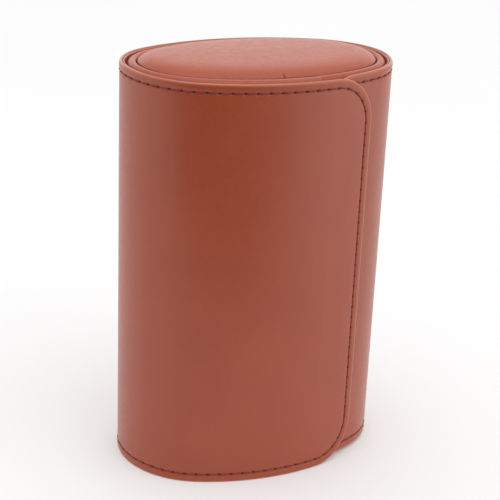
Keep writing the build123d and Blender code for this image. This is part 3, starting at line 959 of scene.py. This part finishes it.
# ---- Build the pieces ---------------------------------------------------------------
LEATHER_MAT = leather("saddle_leather", LEATHER, LEATHER_DEEP)
END_MAT = leather("end_leather", END_LEATHER, END_DEEP, ior=1.38, coat=0.0, sheen=0.0, dark=SEAM_PAINTED_SHADE)
LINING_MAT = leather("lining_leather", LINING_LEATHER, LINING_DEEP)
SUEDE_MAT = suede("lining_suede", TRAY_SUEDE, TRAY_DEEP)
PILLOW_MAT = suede("pillow_suede", PILLOW_SUEDE, PILLOW_DEEP)
THREAD_MAT = thread_material("maroon_thread")
BOARD_MAT = board("grey_board")
METAL_MAT = metal("nickel_steel")

CAD_PAINT = {
    "tray_shell": LINING_MAT, "tray_lining": SUEDE_MAT, "mouth_binding": LINING_MAT,
    "end_board_top": LINING_MAT, "end_board_bottom": LINING_MAT,
    "end_lining_top": SUEDE_MAT, "end_lining_bottom": SUEDE_MAT,
    "divider_1_board": BOARD_MAT, "divider_2_board": BOARD_MAT,
    "flap_magnets": METAL_MAT, "keeper_discs": METAL_MAT,
}
for node, material in CAD_PAINT.items():
    paint(frame["nodes"][node], material)


def hang(piece, zone):
    """Fixes a piece of the wrap's body zone to the case; for any other zone it only bakes the piece's
    place into its mesh.
    """
    if zone == "body":
        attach(piece, "case")
    else:
        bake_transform(piece)


outer = split_sheet("wrap_outer", *sheet_mesh(OUTER_THICK, 0.0, 0.0, True))
inner = split_sheet("wrap_inner", *sheet_mesh(LINING_THICK, -OUTER_THICK - CREVICE, LINING_INSET, False))
threads = thread_mesh()
for zone in ZONES:
    paint(outer[zone], LEATHER_MAT)
    paint(inner[zone], LINING_MAT)
    paint(threads[zone], THREAD_MAT)
    for piece in (outer[zone], inner[zone], threads[zone]):
        hang(piece, zone)
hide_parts("wrap_leather")
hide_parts("wrap_backing")
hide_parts("wrap_stitches")
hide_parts("flap_side_leather")
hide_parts("flap_side_lining")
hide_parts("flap_side_stitches")
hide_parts("flap_front_leather")
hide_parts("flap_front_lining")
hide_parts("flap_front_stitches")

TOP_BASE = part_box("end_bead_top")[0].z
BOTTOM_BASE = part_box("end_bead_bottom")[1].z
bead_top = end_bead("end_bead_top_leather", TOP_BASE, 1, 1.0)
bead_bottom = end_bead("end_bead_bottom_leather", BOTTOM_BASE, -1, BOTTOM_SQUEEZE)
panel_top = end_panel("end_panel_top_leather", TOP_BASE, 1, lambda h: h)
panel_bottom = end_panel("end_panel_bottom_leather", BOTTOM_BASE, -1,
                         lambda h: h if h < BOTTOM_FLAT_FROM else BOTTOM_FLAT)
for end, bead_piece, panel_piece in (("top", bead_top, panel_top), ("bottom", bead_bottom, panel_bottom)):
    for piece in (bead_piece, panel_piece):
        paint(piece, END_MAT)
        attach(piece, "case")
    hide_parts(f"end_bead_{end}", f"end_bead_cord_{end}")
    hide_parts(f"end_panel_{end}", f"end_foam_{end}")

tail = thread_tail("seam_thread_tail", TAIL_X, TOP_BASE)
paint(tail, THREAD_MAT)
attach(tail, "case")

for number in (1, 2, 3):
    node = f"pillow_{number}_cover"
    pillow = pillow_mesh(f"watch_pillow_{number}", *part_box(node))
    paint(pillow, PILLOW_MAT)
    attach(pillow, f"pillow_{number}")
    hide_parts(node, f"pillow_{number}_core")

for number in (1, 2):
    node = f"divider_{number}_cover"
    divider = divider_mesh(f"divider_{number}_suede", *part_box(node))
    paint(divider, SUEDE_MAT)
    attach(divider, "case")
    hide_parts(node)


# ---- Camera, floor and light ---------------------------------------------------------
CAMERA_AZIMUTH, CAMERA_ELEVATION, CAMERA_ROLL = -25, 20.83, 2.46
CAMERA_DISTANCE = 3.2639 * HEIGHT
CAMERA_LENS, CAMERA_SENSOR = 94.08, 36
CAMERA_SHIFT_X, CAMERA_SHIFT_Y = -0.0008, 0.0102
FLOOR_SIZE = 4.0
FLOOR_FRONT = 0.24       # the floor ends this far in front of the case
FLOOR_GLOW = 0.16
WORLD_LIGHT, WORLD_DARK = 1.0, 0.10
DARK_AZIMUTH, DARK_ELEVATION = -30, -8
DARK_FROM, DARK_FULL = 0.45, 0.95
# Name, azimuth, elevation, distance, size and power.
LIGHTS = [
    ("top_softbox", 180, 75, 1.3, (1.6, 1.2), 1.0),
    ("back_wall", 155, 12, 1.8, (3.0, 1.6), 6.0),
    ("left_softbox", -110, 15, 1.2, (0.8, 1.4), 0.5),
    ("right_softbox", 52, 12, 1.2, (0.9, 1.4), 2.2),
    ("front_top", -15, 68, 1.3, (1.2, 0.9), 5.0),
]
MIDDLE = Vector((0, 0, HEIGHT / 2))


def direction(azimuth, elevation):
    """The direction away from the case, in degrees to the right of its front and up."""
    a, e = math.radians(azimuth), math.radians(elevation)
    return Vector((math.sin(a) * math.cos(e), -math.cos(a) * math.cos(e), math.sin(e)))


def make_camera():
    back = direction(CAMERA_AZIMUTH, CAMERA_ELEVATION)
    azimuth, roll = math.radians(CAMERA_AZIMUTH), math.radians(CAMERA_ROLL)
    side = Vector((math.cos(azimuth), math.sin(azimuth), 0))
    up = back.cross(side)
    right = side * math.cos(roll) + up * math.sin(roll)
    upright = up * math.cos(roll) - side * math.sin(roll)
    data = bpy.data.cameras.new("camera")
    data.sensor_width = CAMERA_SENSOR
    data.lens = CAMERA_LENS
    data.shift_x = CAMERA_SHIFT_X
    data.shift_y = CAMERA_SHIFT_Y
    camera = bpy.data.objects.new("camera", data)
    turn = Matrix((right, upright, back)).transposed().to_4x4()
    camera.matrix_world = Matrix.Translation(MIDDLE + back * CAMERA_DISTANCE) @ turn
    bpy.context.scene.collection.objects.link(camera)
    bpy.context.scene.camera = camera


def make_floor():
    nodes = Nodes("floor_white")
    color = nodes.mix(nodes.noise(3.0, 2.0), FLOOR_DEEP, FLOOR_LIGHT)
    nodes.finish(color, 0.8, Emission_Strength=FLOOR_GLOW, Emission_Color=WHITE)
    verts = np.array([(-FLOOR_SIZE, -FLOOR_FRONT, 0), (FLOOR_SIZE, -FLOOR_FRONT, 0),
                      (FLOOR_SIZE, FLOOR_SIZE, 0), (-FLOOR_SIZE, FLOOR_SIZE, 0)])
    floor = make_object("floor", verts, [(0, 1, 2, 3)])
    paint(floor, nodes.material)


def area_light(name, azimuth, elevation, distance, size, power):
    back = direction(azimuth, elevation)
    data = bpy.data.lights.new(name, "AREA")
    data.shape = "RECTANGLE"
    data.size, data.size_y = size
    data.energy = power
    light = bpy.data.objects.new(name, data)
    light.location = MIDDLE + back * distance
    light.rotation_euler = back.to_track_quat("Z", "Y").to_euler()
    bpy.context.scene.collection.objects.link(light)


def make_world():
    """A white studio, darker towards the side where the camera stands. Seen directly it is pale grey."""
    world = bpy.data.worlds.new("studio")
    world.use_nodes = True
    nodes, links = world.node_tree.nodes, world.node_tree.links
    dot = nodes.new("ShaderNodeVectorMath")
    dot.operation = "DOT_PRODUCT"
    dot.inputs[1].default_value = direction(DARK_AZIMUTH, DARK_ELEVATION)
    links.new(nodes.new("ShaderNodeTexCoord").outputs["Generated"], dot.inputs[0])
    shade = nodes.new("ShaderNodeMapRange")
    shade.interpolation_type = "SMOOTHSTEP"
    shade.inputs["From Min"].default_value = DARK_FROM
    shade.inputs["From Max"].default_value = DARK_FULL
    shade.inputs["To Min"].default_value = WORLD_LIGHT
    shade.inputs["To Max"].default_value = WORLD_DARK
    links.new(dot.outputs["Value"], shade.inputs["Value"])
    around = nodes["Background"]
    around.inputs["Color"].default_value = WHITE
    links.new(shade.outputs["Result"], around.inputs["Strength"])
    backdrop = nodes.new("ShaderNodeBackground")
    mix = nodes.new("ShaderNodeMixShader")
    links.new(nodes.new("ShaderNodeLightPath").outputs["Is Camera Ray"], mix.inputs[0])
    links.new(around.outputs[0], mix.inputs[1])
    links.new(backdrop.outputs[0], mix.inputs[2])
    links.new(mix.outputs[0], nodes["World Output"].inputs["Surface"])
    bpy.context.scene.world = world


make_camera()
make_floor()
make_world()
for light_facts in LIGHTS:
    area_light(*light_facts)
bpy.context.scene.view_settings.view_transform = "Standard"
bpy.context.scene.view_settings.look = "None"
